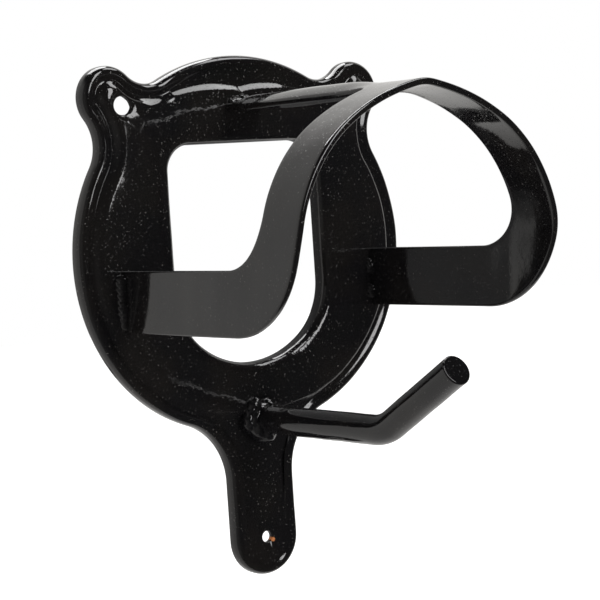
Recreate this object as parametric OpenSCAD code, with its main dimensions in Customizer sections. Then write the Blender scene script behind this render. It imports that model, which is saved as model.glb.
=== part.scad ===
// Wall bracket with a saddle-shaped cradle and a hook below it, all in coated steel.
// A pressed back plate with a window stands on the wall. A bent sheet cradle and a
// bent round bar are welded to its front. Nothing moves.
// Frame: X to the right seen from the front, the front faces -Y, Z up, the wall is y = 0,
// and the origin is the centre of the plate's round body on the wall. Millimetres.

/* [Back plate] */
// Radius of the arc across the top of the body
dome_r = 71; // [68:0.5:74]
// Radius of the arc down each side of the body
side_r = 64.6; // [62:0.2:67]
// Sideways shift of that side arc from the centre line
side_x = 6.9; // [5:0.1:9]
// Height of the centres of the dome and side arcs
body_z = 1; // [0:0.5:2]
// Depth from the wall to the raised face
face_d = 7; // [6:0.5:9]
// Depth from the wall to the sunk border outside the raised face
border_d = 4.5; // [4:0.1:5]
// Thickness of the pressed sheet
plate_t = 2; // [1.5:0.1:2.2]
// Width of the sunk border along the sides
border_w = 7; // [6.5:0.1:7.5]
// Width of the sunk border at the top of the dome
dome_border_w = 12.5; // [9:0.5:13]

/* [Ears and tongue] */
// Sideways place of each ear's centre
ear_x = 54.3; // [53:0.1:56]
// Height of each ear's centre
ear_z = 57.8; // [56:0.1:60]
// Radius of each ear
ear_r = 11.3; // [10.5:0.1:12]
// Radius of the hollow between ear and dome
valley_r = 12; // [9:0.5:16]
// Radius of the neck below each ear
neck_r = 15; // [12:0.5:18]
// Width of the tongue
tongue_w = 28; // [26:0.5:32]
// Height of the centre of the tongue's round end
tongue_z = -104; // [-110:1:-98]
// Radius where the tongue runs into the body
tongue_fillet_r = 24; // [18:1:28]

/* [Window] */
// Half of the window's width
window_hw = 33; // [31:0.5:35]
// Height of the window's top edge
window_top = 40.5; // [38:0.5:42]
// Radius of the window's top corners
window_corner_r = 10; // [7:0.5:12]
// Radius of the window's bottom edge
window_base_r = 38; // [37:0.5:40]
// Height of the centre of the bottom edge's arc
window_base_z = -1.5; // [-3:0.5:0]
// Radius of the window's bottom corners
window_side_r = 26; // [24:0.5:28]

/* [Screw holes] */
// Diameter of each ear hole
hole_d = 6.4; // [5.5:0.1:7]
// Diameter of the tongue hole
tongue_hole_d = 4; // [3.5:0.1:5]
// How far the mouth of each hole flares out round it
sink_w = 1.8; // [1.2:0.1:2]
// Distance between the two ear holes
ear_hole_pitch = 102; // [100:0.5:104]
// Height of the ear holes
ear_hole_z = 55; // [54:0.5:57]

/* [Cradle] */
// Thickness of the bent sheet
sheet_t = 2.3; // [2:0.1:3]
// Half of the outside width across the legs
cradle_hw = 56.5; // [55:0.1:57]
// Height where the legs start to bend inwards
spring_z = -0.2; // [-2:0.1:2]
// Radius of each shoulder
shoulder_r = 52; // [48:0.5:54]
// Radius of each flank above the shoulder
flank_r = 87; // [80:1:95]
// Slope angle where the shoulder becomes the flank
shoulder_end = 58; // [54:0.5:60]
// Slope angle where the flank becomes the crown
flank_end = 78; // [76:0.5:80]
// Distance from the wall to the front edge
reach = 107; // [100:1:120]
// Width of the front band
band_w = 20; // [18:0.5:24]
// Height of the arms' lower edge
arm_low = -23.5; // [-26:0.5:-22]
// Height of the arms' upper edge
arm_high = -1.8; // [-3:0.1:-1]
// Radius of the outer lower corners of the front band
corner_out_r = 36; // [30:1:38]
// Radius of the inner lower corners of the side openings
corner_in_r = 18; // [14:1:20]
// Width of the strip along the top
spine_w = 16.5; // [14:0.5:20]
// Radius where the strip runs into the front band
spine_corner_r = 4; // [2:0.5:5]

/* [Hook] */
// Diameter of the round bar
rod_d = 10.5; // [9:0.5:12]
// Height of the bar's straight length
rod_z = -60.2; // [-62:0.2:-59]
// Distance from the wall to the corner of the bend
bend_y = 75; // [70:1:80]
// Bend radius on the bar's centre line
bend_r = 20; // [15:1:26]
// Angle of the raised end above level
bend_angle = 30.5; // [25:0.5:40]
// Length from the corner of the bend to the tip
tip_len = 43.8; // [40:0.2:50]
// Chamfer round the tip
tip_chamfer = 0.6; // [0.3:0.1:1]

/* [Welds] */
// Radius of the weld collar round the bar
collar_r = 8.2; // [7.5:0.1:8.5]
// Height of the weld collar off the raised face
collar_h = 4.6; // [3.5:0.1:5]
// Leg length of the other weld beads
bead_leg = 2.4; // [2:0.1:3]

/* [Hidden] */
coat = "#161616";
weld_coat = "#1c1c1c";
$fn = 64;
bite = 1;                     // how far cutters run past the faces they cut, and bars into a bend
collar_back = border_d - 0.2; // welds reach back past the step beside the raised face
sink_depth = 1.2;             // depth of each hole's flared mouth
bend_swell = 0.03;            // the bar is a hair thicker through its bend
tongue_hw = tongue_w / 2;
// Each screw hole's x, z, radius, and the depth from the wall to the face round its mouth
screw_holes = [[-ear_hole_pitch / 2, ear_hole_z, hole_d / 2, face_d],
               [ear_hole_pitch / 2, ear_hole_z, hole_d / 2, face_d],
               [0, tongue_z, tongue_hole_d / 2, border_d]];

// ---- Plane geometry: points are [x, z] ----
function ang(v) = atan2(v[1], v[0]);
function dir(a) = [cos(a), sin(a)];
// Centre of a fillet that touches circle a and circle b from outside, on the side turned by s
function fillet_centre(a, ra, b, rb, r, s) =
    let (v = b - a, d = norm(v), p = ra + r, q = rb + r,
         along = (p * p - q * q + d * d) / (2 * d), up = sqrt(p * p - along * along))
    a + v / d * along + s * [-v[1], v[0]] / d * up;

dome_c = [0, body_z];
side_c = [side_x, body_z];
ear_c = [ear_x, ear_z];
tongue_c = [0, tongue_z];
valley_c = fillet_centre(dome_c, dome_r, ear_c, ear_r, valley_r, 1);
neck_c = fillet_centre(side_c, side_r, ear_c, ear_r, neck_r, -1);
fillet_x = tongue_hw + tongue_fillet_r;
fillet_c = [fillet_x, body_z - sqrt(pow(side_r + tongue_fillet_r, 2) - pow(fillet_x - side_x, 2))];
// The raised face ends below the window in one wide arc centred above it
side_end = ang(fillet_c - side_c);
low_arc_r = side_r - border_w + side_x / cos(side_end);
low_arc_z = body_z - side_x * tan(side_end);

// Stations along an arc of the outline: each holds the point on the outline, the outward
// normal, and the matching point on the edge of the raised face
function arc_stations(c, r, a0, a1, n, s, w0, w1) =
    [for (i = [0 : n - 1]) let (f = i / n, u = dir(a0 + (a1 - a0) * f), p = c + r * u)
        [p, s * u, p - s * u * (w0 + (w1 - w0) * f)]];
// Stations down the tongue, whose inner points run along the raised face's lower arc
function tongue_stations(c, r, a0, a1, n, s, f0, f1) =
    [for (i = [0 : n - 1]) let (f = i / n, u = dir(a0 + (a1 - a0) * f),
                                b = side_end + (-90 - side_end) * (f0 + (f1 - f0) * f))
        [c + r * u, s * u, [0, low_arc_z] + low_arc_r * dir(b)]];

function right_stations() = concat(
    arc_stations(dome_c, dome_r, 90, ang(valley_c - dome_c), 9, 1, dome_border_w, border_w),
    arc_stations(valley_c, valley_r, ang(dome_c - valley_c), ang(ear_c - valley_c), 5, -1, border_w, border_w),
    arc_stations(ear_c, ear_r, ang(valley_c - ear_c), ang(neck_c - ear_c), 10, 1, border_w, border_w),
    arc_stations(neck_c, neck_r, ang(ear_c - neck_c), ang(side_c - neck_c) + 360, 5, -1, border_w, border_w),
    arc_stations(side_c, side_r, ang(neck_c - side_c), side_end, 13, 1, border_w, border_w),
    tongue_stations(fillet_c, tongue_fillet_r, ang(side_c - fillet_c), 180, 5, -1, 0, 0.35),
    tongue_stations(tongue_c, tongue_hw, 0, -90, 7, 1, 0.5, 1),
    [[tongue_c - [0, tongue_hw], [0, -1], [0, low_arc_z - low_arc_r]]]);
function flip(p) = [-p[0], p[1]];
function outline_stations() =
    let (r = right_stations(), n = len(r))
    concat(r, [for (i = [n - 2 : -1 : 1]) [for (p = r[i]) flip(p)]]);

// Radius of the window at polar angle a, from straight edges and arcs
corner_c = [window_hw - window_corner_r, window_top - window_corner_r];
low_x = window_hw - window_side_r;
low_c = [low_x, window_base_z - sqrt(pow(window_base_r - window_side_r, 2) - low_x * low_x)];
base_c = [0, window_base_z];
base_end = base_c + window_base_r * (low_c - base_c) / norm(low_c - base_c);
function ray_circle(c, r, a) =
    let (b = c * dir(a)) b + sqrt(b * b - c * c + r * r);
function window_r(a) =
    let (t = abs(a) > 90 ? sign(a) * (180 - abs(a)) : a)
    t > ang([corner_c[0], window_top]) ? window_top / sin(t) :
    t > ang([window_hw, corner_c[1]]) ? ray_circle(corner_c, window_corner_r, t) :
    t > ang([window_hw, low_c[1]]) ? window_hw / cos(t) :
    t > ang(base_end) ? ray_circle(low_c, window_side_r, t) : ray_circle(base_c, window_base_r, t);

// One cross-section of the pressed sheet. The front line runs from the wall over the rim and
// across to the window, and the back line runs home a sheet's thickness behind it
function put(p, y) = [p[0], y, p[1]];
function front_line(s) =
    let (o = s[0], n = s[1], c = s[2], u = dir(ang(c)), w = u * window_r(ang(c)))
    [put(o, 0), put(o, -3), put(o - 0.7 * n, -border_d - 0.1), put(o - 2.2 * n, -border_d - 0.7),
     put(o - 4 * n, -border_d), put(c + (n + u) * 0.6, -border_d - 0.2),
     put(c - (n + u) * 0.3, 0.3 - face_d), put(c - (n + u), -face_d),
     put(w + 4.5 * u, -face_d), put(w + 1.6 * u, 0.9 - face_d), put(w, 3.4 - face_d), put(w, 0)];
function back_line(s) =
    let (o = s[0], n = s[1], c = s[2], u = dir(ang(c)), w = u * window_r(ang(c)))
    [put(w + plate_t * u, 0), put(w + plate_t * u, 3.6 - face_d), put(w + 4.9 * u, plate_t - face_d),
     put(c - (n + u) * 1.2, plate_t - face_d), put(c, plate_t - border_d - 0.4),
     put(o - 4.4 * n, plate_t - border_d), put(o - 2.7 * n, plate_t - border_d - 0.6),
     put(o - plate_t * n, 2 - border_d), put(o - plate_t * n, 0)];

// Close a ring of equal cross-sections into one solid
module ring_solid(sections) {
    n = len(sections);
    k = len(sections[0]);
    faces = [for (i = [0 : n - 1]) for (j = [0 : k - 1])
        let (a = i * k, b = ((i + 1) % n) * k, j2 = (j + 1) % k)
        each [[a + j, b + j, b + j2], [a + j, b + j2, a + j2]]];
    polyhedron([for (s = sections) each s], faces, convexity = 8);
}
module pressed_sheet() { ring_solid([for (s = outline_stations()) concat(front_line(s), back_line(s))]); }
// The same shape filled in behind, used to seat the welds on its front
module pressed_front() { ring_solid([for (s = outline_stations()) front_line(s)]); }

// ---- Cradle section: one arc for each shoulder and flank, one for the crown ----
shoulder_c = [cradle_hw - shoulder_r, spring_z];
flank_c = shoulder_c + (shoulder_r - flank_r) * dir(shoulder_end);
crown_r = flank_r + flank_c[0] / cos(flank_end);
crown_c = flank_c + (flank_r - crown_r) * dir(flank_end);
function arc(c, r, a0, a1, n) = [for (i = [0 : n]) c + r * dir(a0 + (a1 - a0) * i / n)];
function half_arch(grow) = concat(
    arc(shoulder_c, shoulder_r + grow, 0, shoulder_end, 14),
    arc(flank_c, flank_r + grow, shoulder_end + 4, flank_end, 4),
    arc(crown_c, crown_r + grow, flank_end + 4, 90, 2));
function arch(grow) =
    let (h = half_arch(grow), n = len(h)) concat(h, [for (i = [n - 2 : -1 : 0]) flip(h[i])]);
function reversed(l) = [for (i = [len(l) - 1 : -1 : 0]) l[i]];
function arch_band(low, high) = concat(arch(high), reversed(arch(low)));
function cradle_section() = concat(
    [[cradle_hw, arm_low]], arch(0), [[-cradle_hw, arm_low], [sheet_t - cradle_hw, arm_low]],
    reversed(arch(-sheet_t)), [[cradle_hw - sheet_t, arm_low]]);

// ---- Placing helpers ----
// Stand a flat drawing in x and z upright and grow it towards the front
module towards_front(from, to) {
    translate([0, -from, 0]) rotate([90, 0, 0]) linear_extrude(to - from) children();
}
// Stand a flat drawing in reach and z upright and grow it to both sides
module sideways(width) {
    rotate([90, 0, -90]) linear_extrude(width, center = true) children();
}
module round_bar(from, to, r1, r2) {
    translate([0, -from, 0]) rotate([90, 0, 0]) cylinder(h = to - from, r1 = r1, r2 = r2);
}

// ---- Sub-parts ----
module back_plate() {
    color(coat) difference() {
        pressed_sheet();
        for (h = screw_holes) translate([h[0], 0, h[1]]) {
            round_bar(-bite, face_d + bite, h[2], h[2]);
            round_bar(h[3] - sink_depth, h[3] + sink_depth, h[2], h[2] + 2 * sink_w);
        }
    }
}

module side_opening() {
    band_back = reach - band_w;
    above = window_top + window_hw;
    intersection() {
        sideways(4 * cradle_hw) polygon(concat(
            [[0, arm_high]],
            arc([band_back - corner_in_r, arm_high + corner_in_r], corner_in_r, -90, 0, 12),
            [[band_back, above], [0, above]]));
        linear_extrude(4 * above, center = true) polygon(concat(
            [[spine_w / 2, 0], [2 * cradle_hw, 0], [2 * cradle_hw, -band_back]],
            arc([spine_w / 2 + spine_corner_r, spine_corner_r - band_back], spine_corner_r, -90, -180, 6)));
    }
}

module cradle() {
    color(coat) difference() {
        towards_front(face_d, reach) polygon(cradle_section());
        side_opening();
        mirror([1, 0, 0]) side_opening();
        sideways(4 * cradle_hw) polygon(concat(
            arc([reach - corner_out_r, arm_low + corner_out_r], corner_out_r, -90, 0, 16),
            [[reach + bite, arm_low + corner_out_r], [reach + bite, arm_low - bite],
             [reach - corner_out_r, arm_low - bite]]));
    }
}

// Drawn about the centre of the bend, then laid along the bar's place
module hook_rod() {
    rod_r = rod_d / 2;
    leg = bend_r * tan(bend_angle / 2);
    straight = bend_y - leg - face_d;
    sloped = tip_len - leg - tip_chamfer;
    color(coat) translate([0, leg - bend_y, rod_z + bend_r]) rotate([0, 90, 180]) {
        translate([bend_r, -straight, 0]) rotate([-90, 0, 0]) cylinder(h = straight + bite, r = rod_r);
        rotate_extrude(angle = bend_angle) translate([bend_r, 0]) circle(rod_r + bend_swell);
        rotate([0, 0, bend_angle]) translate([bend_r, -bite, 0]) rotate([-90, 0, 0]) {
            cylinder(h = bite + sloped, r = rod_r);
            translate([0, 0, bite + sloped])
                cylinder(h = tip_chamfer, r1 = rod_r, r2 = rod_r - tip_chamfer);
        }
    }
}

module hook_weld() {
    rise = collar_h / 2;
    color(weld_coat) difference() {
        translate([0, 0, rod_z]) rotate([90, 0, 0]) rotate_extrude() polygon(concat(
            [[0, collar_back], [collar_r, collar_back]],
            [for (a = [0 : 15 : 90]) [rod_d / 2 + (collar_r - rod_d / 2) * cos(a), face_d + rise + rise * sin(a)]],
            [[0, face_d + collar_h]]));
        translate([0, 0, rod_z]) round_bar(face_d, reach, rod_d / 2, rod_d / 2);
        pressed_front();
    }
}

// Beads down the outer and inner corner of one arm; the inner one is a short tack
module arm_welds(side) {
    arm_h = arm_high - arm_low;
    color(weld_coat) difference() {
        for (bead = [[cradle_hw, 0.9 * arm_h], [cradle_hw - sheet_t, 0.6 * arm_h]])
            translate([side * bead[0], -face_d, arm_low + arm_h / 2])
                cylinder(h = bead[1], r = bead_leg, center = true);
        translate([side * (cradle_hw - sheet_t / 2), -reach / 2, arm_low + arm_h / 2])
            cube([sheet_t, reach, 2 * arm_h], center = true);
        pressed_front();
    }
}

module spine_weld() {
    reach_x = 0.8 * spine_w / 2;
    color(weld_coat) intersection() {
        union() {
            towards_front(face_d, face_d + bead_leg / 2) polygon(arch_band(0, bead_leg));
            towards_front(face_d + bead_leg / 2, face_d + bead_leg) polygon(arch_band(0, bead_leg / 2));
        }
        translate([-reach_x, -reach, 0]) cube([2 * reach_x, reach, 2 * cradle_hw]);
    }
}

back_plate();
cradle();
hook_rod();
hook_weld();
arm_welds(-1);  // left_arm_welds
arm_welds(1);  // right_arm_welds
spine_weld();
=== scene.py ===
"""Coated steel wall bracket with a saddle cradle and a hook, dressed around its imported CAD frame.

Every piece is a surface worked out with numpy in millimetres, turned to metres when its mesh is made.
Frame: X to the right seen from the front, the front faces -Y, Z up, the wall is y = 0.
"""

import logging
import math
from dataclasses import dataclass, field
from enum import Enum

import bmesh
import bpy
import numpy as np
from mathutils import Euler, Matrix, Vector

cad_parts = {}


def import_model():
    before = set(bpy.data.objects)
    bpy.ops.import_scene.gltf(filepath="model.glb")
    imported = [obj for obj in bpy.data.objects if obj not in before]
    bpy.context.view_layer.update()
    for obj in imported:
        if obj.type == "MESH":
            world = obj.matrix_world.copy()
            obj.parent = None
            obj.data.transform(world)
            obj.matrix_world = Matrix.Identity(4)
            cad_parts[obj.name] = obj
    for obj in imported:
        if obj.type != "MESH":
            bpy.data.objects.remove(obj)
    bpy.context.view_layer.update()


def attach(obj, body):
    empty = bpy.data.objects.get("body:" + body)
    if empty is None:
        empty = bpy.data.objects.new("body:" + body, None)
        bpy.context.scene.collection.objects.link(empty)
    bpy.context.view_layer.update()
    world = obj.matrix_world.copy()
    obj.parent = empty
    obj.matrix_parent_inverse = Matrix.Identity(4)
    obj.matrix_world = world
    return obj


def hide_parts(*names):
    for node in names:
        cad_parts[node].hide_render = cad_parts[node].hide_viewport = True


MM = 0.001
log = logging.getLogger("bracket")


# ---------------------------------------------------------------- finishes


class Peel(Enum):
    """How coarse the coat's orange peel is, as cells per metre and depth in metres."""

    DIPPED = (520.0, 0.00007)
    SMOOTH = (640.0, 0.00001)
    POOLED = (300.0, 0.00005)


class Nodes:
    """Small helper that lays shader nodes into one material or world."""

    def __init__(self, tree: bpy.types.NodeTree) -> None:
        """Keep the tree and empty it."""
        self.tree = tree
        tree.nodes.clear()

    def add(self, kind: str, **settings: object) -> bpy.types.Node:
        """Add one node.

        Args:
            kind: Blender's class name of the node.
            settings: Properties to set on it.

        Returns:
            The new node.
        """
        node = self.tree.nodes.new(kind)
        for name, value in settings.items():
            setattr(node, name, value)
        return node

    def link(self, source: bpy.types.NodeSocket, target: bpy.types.NodeSocket) -> None:
        """Join an output socket to an input socket."""
        self.tree.links.new(source, target)

    def noise(self, place: bpy.types.NodeSocket, scale: float, detail: float) -> bpy.types.NodeSocket:
        """Add a noise texture.

        Args:
            place: Coordinates that it reads.
            scale: Cells per metre.
            detail: Octaves.

        Returns:
            Its value socket, from 0 to 1.
        """
        node = self.add("ShaderNodeTexNoise")
        node.inputs["Scale"].default_value = scale
        node.inputs["Detail"].default_value = detail
        self.link(place, node.inputs["Vector"])
        return node.outputs["Fac"]

    def ramp(self, value: bpy.types.NodeSocket, low: float, high: float,
             to_low: float, to_high: float) -> bpy.types.NodeSocket:
        """Map a value from one range to another, smoothly and clamped.

        Args:
            value: Socket to map.
            low: Value that gives to_low.
            high: Value that gives to_high.
            to_low: Result at and below low.
            to_high: Result at and above high.

        Returns:
            The mapped socket.
        """
        node = self.add("ShaderNodeMapRange", interpolation_type="SMOOTHSTEP")
        for name, number in (("From Min", low), ("From Max", high), ("To Min", to_low), ("To Max", to_high)):
            node.inputs[name].default_value = number
        self.link(value, node.inputs["Value"])
        return node.outputs["Result"]

    def bump(self, height: bpy.types.NodeSocket, depth: float,
             under: bpy.types.NodeSocket | None = None) -> bpy.types.NodeSocket:
        """Add a bump of a real depth.

        Args:
            height: Height pattern from 0 to 1.
            depth: Depth of the pattern in metres.
            under: Normal that this bump stands on.

        Returns:
            The bumped normal.
        """
        node = self.add("ShaderNodeBump")
        node.inputs["Strength"].default_value = 1.0
        node.inputs["Distance"].default_value = depth
        self.link(height, node.inputs["Height"])
        if under is not None:
            self.link(under, node.inputs["Normal"])
        return node.outputs["Normal"]

    def blend(self, share: bpy.types.NodeSocket, below: object, above: object) -> bpy.types.NodeSocket:
        """Mix two colours by a share.

        Args:
            share: How much of the upper colour shows.
            below: Lower colour, a socket or a tuple.
            above: Upper colour, a socket or a tuple.

        Returns:
            The mixed colour.
        """
        node = self.add("ShaderNodeMix", data_type="RGBA")
        self.link(share, node.inputs["Factor"])
        for socket, colour in ((node.inputs[6], below), (node.inputs[7], above)):
            if isinstance(colour, bpy.types.NodeSocket):
                self.link(colour, socket)
            else:
                socket.default_value = (*colour, 1.0)
        return node.outputs[2]


@dataclass(frozen=True)
class Spot:
    """A small stain at one place on a piece, in millimetres."""

    place: tuple[float, float, float]
    reach: float
    colour: tuple[float, float, float]


@dataclass(frozen=True)
class GlossCoat:
    """Black gloss dip coat over steel: orange peel, slow thickness waves, dust and a few stains."""

    name: str
    peel: Peel
    colour: tuple[float, float, float] = (0.0042, 0.0040, 0.0044)
    thick_colour: tuple[float, float, float] = (0.0065, 0.0058, 0.0055)
    shine: tuple[float, float] = (0.045, 0.10)
    wave_depth: float = 0.00004
    dust: float = 0.35
    spots: tuple[Spot, ...] = ()
    smooth_beyond: float = 1000.0

    def build(self) -> bpy.types.Material:
        """Make the material.

        Returns:
            A node material that reads object coordinates only.
        """
        material = bpy.data.materials.new(self.name)
        material.use_nodes = True
        nodes = Nodes(material.node_tree)
        place = nodes.add("ShaderNodeTexCoord").outputs["Object"]
        shader = nodes.add("ShaderNodeBsdfPrincipled")
        shader.inputs["IOR"].default_value = 1.5
        self._colour(nodes, place, shader)
        self._relief(nodes, place, shader)
        output = nodes.add("ShaderNodeOutputMaterial")
        nodes.link(shader.outputs["BSDF"], output.inputs["Surface"])
        return material

    def _colour(self, nodes: Nodes, place: bpy.types.NodeSocket, shader: bpy.types.Node) -> None:
        """Set the base colour and the roughness: thicker coat, dust grains and stains.

        Args:
            nodes: Node helper of the material.
            place: Object coordinates.
            shader: Shader to feed.
        """
        patches = nodes.ramp(nodes.noise(place, 38.0, 3.0), 0.38, 0.66, 0.0, 1.0)
        colour = nodes.blend(patches, self.colour, self.thick_colour)
        grains = nodes.ramp(nodes.noise(place, 1500.0, 1.0), 0.69, 0.76, 0.0, self.dust)
        colour = nodes.blend(grains, colour, (0.16, 0.15, 0.14))
        rough = nodes.ramp(nodes.noise(place, 90.0, 4.0), 0.30, 0.72, *self.shine)
        for spot in self.spots:
            apart = nodes.add("ShaderNodeVectorMath", operation="DISTANCE")
            apart.inputs[1].default_value = [v * MM for v in spot.place]
            nodes.link(place, apart.inputs[0])
            ragged = nodes.add("ShaderNodeMath", operation="MULTIPLY_ADD")
            nodes.link(nodes.noise(place, 900.0, 3.0), ragged.inputs[0])
            ragged.inputs[1].default_value = spot.reach * MM
            nodes.link(apart.outputs["Value"], ragged.inputs[2])
            share = nodes.ramp(ragged.outputs[0], spot.reach * MM, 1.35 * spot.reach * MM, 1.0, 0.0)
            colour = nodes.blend(share, colour, spot.colour)
            lift = nodes.add("ShaderNodeMath", operation="MULTIPLY_ADD")
            nodes.link(share, lift.inputs[0])
            lift.inputs[1].default_value = 0.45
            nodes.link(rough, lift.inputs[2])
            rough = lift.outputs[0]
        nodes.link(colour, shader.inputs["Base Color"])
        nodes.link(rough, shader.inputs["Roughness"])

    def _relief(self, nodes: Nodes, place: bpy.types.NodeSocket, shader: bpy.types.Node) -> None:
        """Set the bump: slow waves, then orange peel that fades out near the rim, then grains of dust.

        Args:
            nodes: Node helper of the material.
            place: Object coordinates.
            shader: Shader to feed.
        """
        cells, depth = self.peel.value
        waves = nodes.bump(nodes.noise(place, 75.0, 1.0), self.wave_depth)
        apart = nodes.add("ShaderNodeVectorMath", operation="LENGTH")
        nodes.link(place, apart.inputs[0])
        fade = nodes.ramp(apart.outputs["Value"], (self.smooth_beyond - 7) * MM, self.smooth_beyond * MM,
                          1.0, 0.0)
        peel = nodes.bump(nodes.noise(place, cells, 2.0), depth, waves)
        nodes.link(fade, peel.node.inputs["Strength"])
        grains = nodes.ramp(nodes.noise(place, 1500.0, 1.0), 0.67, 0.76, 0.0, 1.0)
        nodes.link(nodes.bump(grains, 0.00003, peel), shader.inputs["Normal"])


# ---------------------------------------------------------------- mesh helpers


def turn(degrees: np.ndarray | float) -> np.ndarray:
    """Unit vectors at angles in degrees, last axis is (cosine, sine)."""
    a = np.radians(degrees)
    return np.stack([np.cos(a), np.sin(a)], axis=-1)


def bearing(v: np.ndarray) -> float:
    """Angle of a plane vector in degrees."""
    return math.degrees(math.atan2(v[1], v[0]))


def unit(v: np.ndarray) -> np.ndarray:
    """Vectors scaled to length one along the last axis."""
    return v / np.linalg.norm(v, axis=-1, keepdims=True)


def grid_quads(rows: int, cols: int, wrap_rows: bool = False, wrap_cols: bool = False) -> np.ndarray:
    """Quads of a grid whose vertices are numbered row by row.

    Args:
        rows: Number of rows.
        cols: Number of columns.
        wrap_rows: The last row meets the first.
        wrap_cols: The last column meets the first.

    Returns:
        Array of four vertex numbers a face.
    """
    i = np.arange(rows if wrap_rows else rows - 1)[:, None]
    j = np.arange(cols if wrap_cols else cols - 1)[None, :]
    i2, j2 = (i + 1) % rows, (j + 1) % cols
    quads = [i * cols + j, i2 * cols + j, i2 * cols + j2, i * cols + j2]
    return np.stack(np.broadcast_arrays(*quads), axis=-1).reshape(-1, 4)


def ripple(points: np.ndarray, wavelength: float, depth: float, seed: int) -> np.ndarray:
    """Soft pseudo-noise: the mean of seven plane sine waves in seeded directions, times depth.

    Args:
        points: Points in millimetres, last axis 3.
        wavelength: Middle wavelength in millimetres.
        depth: Greatest value.
        seed: Seed of the waves.

    Returns:
        One value a point.
    """
    rng = np.random.default_rng(seed)
    ways = unit(rng.normal(size=(7, 3))) * (2 * np.pi / wavelength) * rng.uniform(0.6, 1.6, (7, 1))
    return depth * np.sin(points @ ways.T + rng.uniform(0, 2 * np.pi, 7)).mean(axis=-1) * 2


def smooth_line(knots: np.ndarray, steps: list[int]) -> np.ndarray:
    """Carry a centripetal Catmull-Rom curve through knots, for many lines at once.

    On each span the curve is the Hermite cubic whose end slopes weigh the two neighbouring
    chords by the square roots of their lengths, so a long span never swings past a short one.

    Args:
        knots: Array (lines, knots, 3).
        steps: Points on each span, the end point left out.

    Returns:
        Array (lines, points, 3), the last knot included.
    """
    gaps = np.sqrt(np.linalg.norm(np.diff(knots, axis=1), axis=-1, keepdims=True)) + 1e-9
    chords = np.diff(knots, axis=1) / gaps
    inner = (chords[:, :-1] * gaps[:, 1:] + chords[:, 1:] * gaps[:, :-1]) / (gaps[:, :-1] + gaps[:, 1:])
    slopes = np.concatenate([chords[:, :1], inner, chords[:, -1:]], axis=1)
    runs = []
    for i, count in enumerate(steps):
        t = (np.arange(count) / count)[None, :, None]
        a, b, g = knots[:, i:i + 1], knots[:, i + 1:i + 2], gaps[:, i:i + 1]
        m0, m1 = slopes[:, i:i + 1] * g, slopes[:, i + 1:i + 2] * g
        runs.append((2 * t**3 - 3 * t**2 + 1) * a + (t**3 - 2 * t**2 + t) * m0
                    + (3 * t**2 - 2 * t**3) * b + (t**3 - t**2) * m1)
    return np.concatenate([*runs, knots[:, -1:]], axis=1)


def make_piece(name: str, shells: list[tuple[np.ndarray, np.ndarray]],
               material: bpy.types.Material, sharp: float = 40.0) -> bpy.types.Object:
    """Make one object at the origin out of closed shells, poles merged and faces turned outwards.

    Args:
        name: Name of the piece.
        shells: Pairs of points in millimetres and face vertex numbers.
        material: Finish of the piece.
        sharp: Edges that turn more than this many degrees stay sharp.

    Returns:
        The linked object, smooth shaded.
    """
    points = np.concatenate([p.reshape(-1, 3) for p, _ in shells]) * MM
    starts = np.cumsum([0] + [p.size // 3 for p, _ in shells[:-1]])
    faces = [row for (_, f), start in zip(shells, starts) for row in (np.asarray(f) + start).tolist()]
    mesh = bpy.data.meshes.new(name)
    mesh.from_pydata(points.tolist(), [], faces)
    work = bmesh.new()
    work.from_mesh(mesh)
    bmesh.ops.remove_doubles(work, verts=work.verts, dist=1e-6)
    bmesh.ops.dissolve_degenerate(work, edges=work.edges, dist=1e-7)
    bmesh.ops.recalc_face_normals(work, faces=work.faces)
    work.to_mesh(mesh)
    work.free()
    mesh.materials.append(material)
    mesh.shade_smooth()
    mesh.set_sharp_from_angle(angle=math.radians(sharp))
    piece = bpy.data.objects.new(name, mesh)
    bpy.context.scene.collection.objects.link(piece)
    return piece


def apply_modifiers(piece: bpy.types.Object) -> None:
    """Turn the piece's modifiers into its own mesh."""
    graph = bpy.context.evaluated_depsgraph_get()
    mesh = bpy.data.meshes.new_from_object(piece.evaluated_get(graph))
    piece.modifiers.clear()
    piece.data = mesh


def cut(piece: bpy.types.Object, tool: bpy.types.Object, operation: str) -> None:
    """Join a tool to the piece or cut it away, then remove the tool.

    Args:
        piece: Piece that changes.
        tool: Closed mesh.
        operation: UNION or DIFFERENCE.
    """
    modifier = piece.modifiers.new("cut", "BOOLEAN")
    modifier.operation = operation
    modifier.solver = "EXACT"
    modifier.object = tool
    apply_modifiers(piece)
    bpy.data.objects.remove(tool)


def turned(profile: np.ndarray, centre: tuple[float, float], count: int = 96) -> tuple[np.ndarray, np.ndarray]:
    """Turn a profile of (radius, depth) about an axis along Y; its ends lie on the axis.

    Args:
        profile: Radius from the axis and distance from the wall, in millimetres.
        centre: Sideways and upward place of the axis.
        count: Steps round the axis.

    Returns:
        Points and quads of a closed shell.
    """
    a = np.linspace(0, 2 * np.pi, count, endpoint=False)[:, None]
    r, y = profile[None, :, 0], profile[None, :, 1]
    points = np.stack([centre[0] + r * np.cos(a), -y + 0 * a, centre[1] + r * np.sin(a)], axis=-1)
    return points, grid_quads(count, len(profile), wrap_rows=True)


# ---------------------------------------------------------------- back plate


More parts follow.
